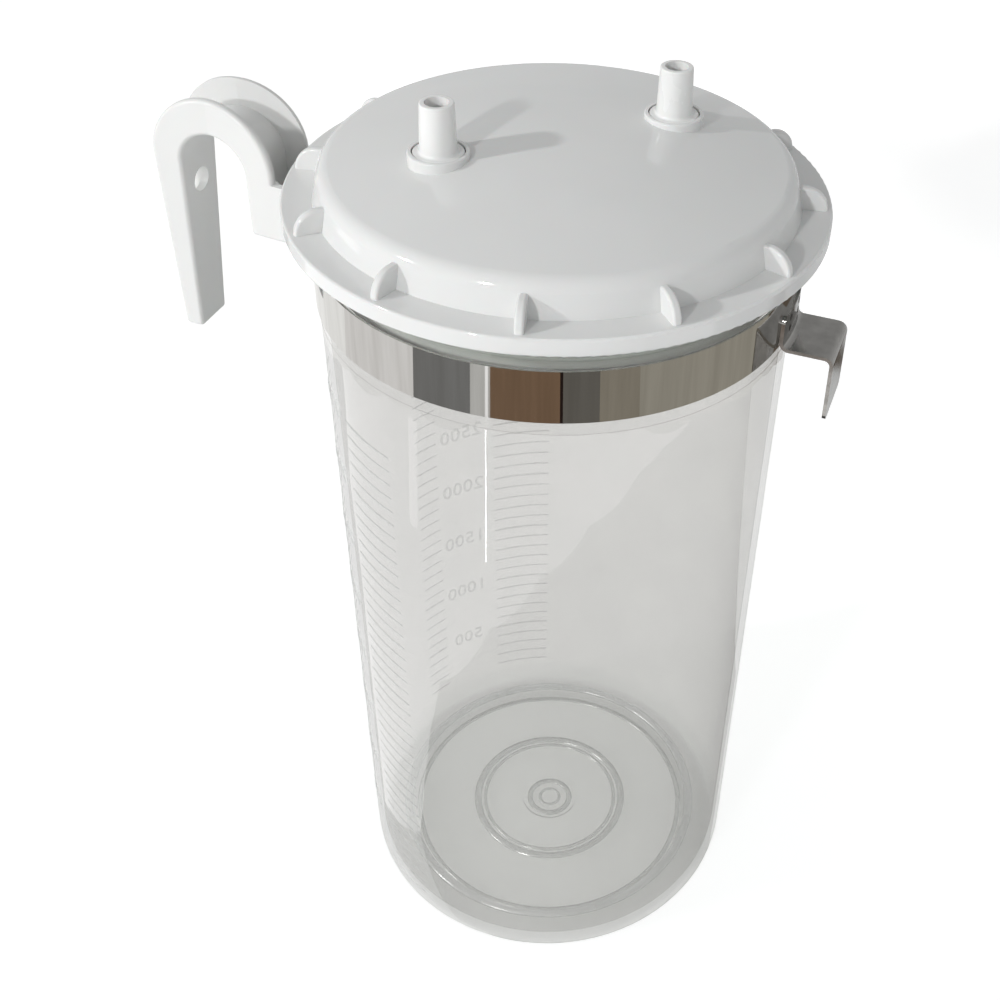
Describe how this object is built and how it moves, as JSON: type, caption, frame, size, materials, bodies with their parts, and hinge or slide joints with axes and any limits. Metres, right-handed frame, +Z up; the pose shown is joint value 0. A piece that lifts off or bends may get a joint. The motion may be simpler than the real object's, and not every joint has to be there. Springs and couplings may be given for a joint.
{
  "type": "effluent collection bottle",
  "caption": "Clear graduated waste bottle with a white screw-in lid, hose spigots, a float overflow valve, a steel neck band with a hook, and a hook-shaped handle.",
  "frame": {"origin": "centre of the foot ring, on the plane the bottle stands on", "axes": "+Z up along the bottle's axis; the steel hook is on the +X side and the handle on the -X side"},
  "size_m": [0.2392, 0.174, 0.34],
  "materials": {
    "clear_plastic": "clear, moulded",
    "white_plastic": "semi-gloss, moulded",
    "polished_steel": "polished stainless sheet",
    "steel": "plain stainless",
    "silicone": "soft, matt",
    "grey_plastic": "matt, moulded",
    "float_plastic": "matt, foamed",
    "seal_rubber": "soft, matt"
  },
  "bodies": {
    "bottle": {"jar": "clear_plastic", "band": "polished_steel", "hook": "steel", "handle": "white_plastic", "handle_weld_nut": "steel", "handle_screw": "steel", "handle_screw_washer": "steel"},
    "lid_group": {"lid": "white_plastic", "lid_gasket": "silicone", "inlet_spigot": "white_plastic", "vacuum_spigot": "white_plastic", "inlet_spigot_washer": "silicone", "vacuum_spigot_washer": "silicone", "inlet_spigot_nut": "grey_plastic", "vacuum_spigot_nut": "grey_plastic", "valve_cage": "grey_plastic", "valve_cage_base": "grey_plastic"},
    "float_group": {"float": "float_plastic", "float_seal": "seal_rubber"}
  },
  "joints": [
    {"name": "lid_lift", "type": "slide", "parent": "bottle", "child": "lid_group", "axis": [0, 0, 1], "range_m": [0, 0.06]},
    {"name": "float_rise", "type": "slide", "parent": "lid_group", "child": "float_group", "axis": [0, 0, 1], "range_m": [0, 0.0126]}
  ]
}
